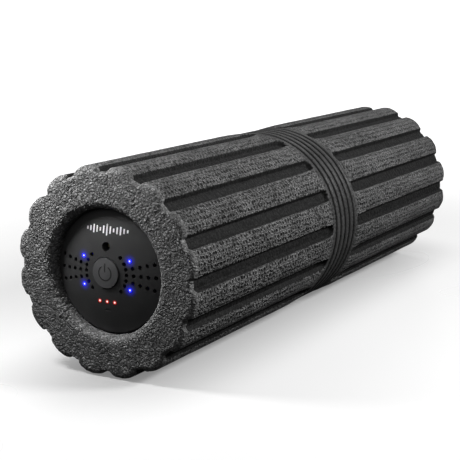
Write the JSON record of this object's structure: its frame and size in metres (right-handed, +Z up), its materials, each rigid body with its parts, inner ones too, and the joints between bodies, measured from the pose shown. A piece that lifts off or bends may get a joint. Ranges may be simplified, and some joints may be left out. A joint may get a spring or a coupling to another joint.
{
  "type": "vibrating foam roller",
  "caption": "Grooved foam massage roller with a motor and eccentric weights inside its core, and a lit control panel with a power button set into one end.",
  "frame": {"origin": "centre of the roller's box, on its rolling axis at mid-length", "axes": "+Y along the rolling axis from the control panel's end to the plain end, +Z up with the panel's jack above its button, and the panel faces -Y"},
  "size_m": [0.1342, 0.432, 0.1342],
  "materials": {
    "sleeve_foam": "matte pebbled skin of expanded-bead foam",
    "core_plastic": "matte black",
    "panel_plastic": "fine matte black",
    "button_plastic": "soft-touch dark grey",
    "switch_plastic": "black moulded plastic",
    "blue_light": "clear, lit blue",
    "red_light": "clear, lit red",
    "plated_brass": "plated",
    "board_laminate": "green solder mask",
    "screw_steel": "zinc plated",
    "plug_plastic": "natural nylon",
    "cell_can": "shrink-wrapped metal can",
    "nickel_strip": "bright nickel",
    "chassis_plastic": "glass-filled nylon",
    "spacer_aluminium": "turned",
    "motor_steel": "zinc plated",
    "magnet_ferrite": "ground ferrite",
    "bearing_bronze": "oil-filled sintered bronze",
    "brush_carbon": "pressed carbon",
    "copper_wire": "enamelled copper",
    "weight_iron": "machined",
    "lead_rubber": "flexible insulation"
  },
  "bodies": {
    "roller": {"foam_sleeve": "sleeve_foam", "core_tube": "core_plastic", "control_panel": "panel_plastic", "rear_cap": "panel_plastic", "tact_switch": "switch_plastic", "speed_light_pipes": "blue_light", "charge_light_pipes": "red_light", "speed_light_chips": "blue_light", "charge_light_chips": "red_light", "charge_jack": "panel_plastic", "charge_jack_pin": "plated_brass", "control_board": "board_laminate", "board_screws": "screw_steel", "board_plugs": "plug_plastic", "driver_chips": "switch_plastic", "battery_cells": "cell_can", "battery_tabs": "nickel_strip", "front_bulkhead": "chassis_plastic", "battery_plate": "chassis_plastic", "motor_mount_front": "chassis_plastic", "motor_mount_rear": "chassis_plastic", "rear_bulkhead": "chassis_plastic", "tie_rods": "screw_steel", "rod_nuts": "screw_steel", "battery_spacers": "spacer_aluminium", "weight_spacers": "spacer_aluminium", "motor_spacers": "spacer_aluminium", "bulkhead_screws": "screw_steel", "motor_can": "motor_steel", "motor_magnets": "magnet_ferrite", "motor_bell_front": "spacer_aluminium", "motor_bell_rear": "spacer_aluminium", "motor_terminals": "plated_brass", "shaft_bearings": "bearing_bronze", "motor_brushes": "brush_carbon", "brush_holders": "plug_plastic", "motor_screws": "screw_steel", "motor_leads": "lead_rubber", "battery_leads": "lead_rubber"},
    "button": {"power_button": "button_plastic", "switch_plunger": "switch_plastic"},
    "rotor": {"rotor_shaft": "screw_steel", "armature_core": "motor_steel", "armature_windings": "copper_wire", "commutator": "copper_wire", "eccentric_weight_front": "weight_iron", "eccentric_weight_rear": "weight_iron", "weight_grub_screws": "screw_steel"}
  },
  "joints": [
    {"name": "button_press", "type": "slide", "parent": "roller", "child": "button", "axis": [0, 1, 0], "range_m": [0, 0.0008], "stiffness_N_per_m": 1000, "springref_m": -0.0015},
    {"name": "rotor_spin", "type": "hinge", "parent": "roller", "child": "rotor", "pos_m": [0, 0, 0], "axis": [0, 1, 0], "continuous": true}
  ]
}
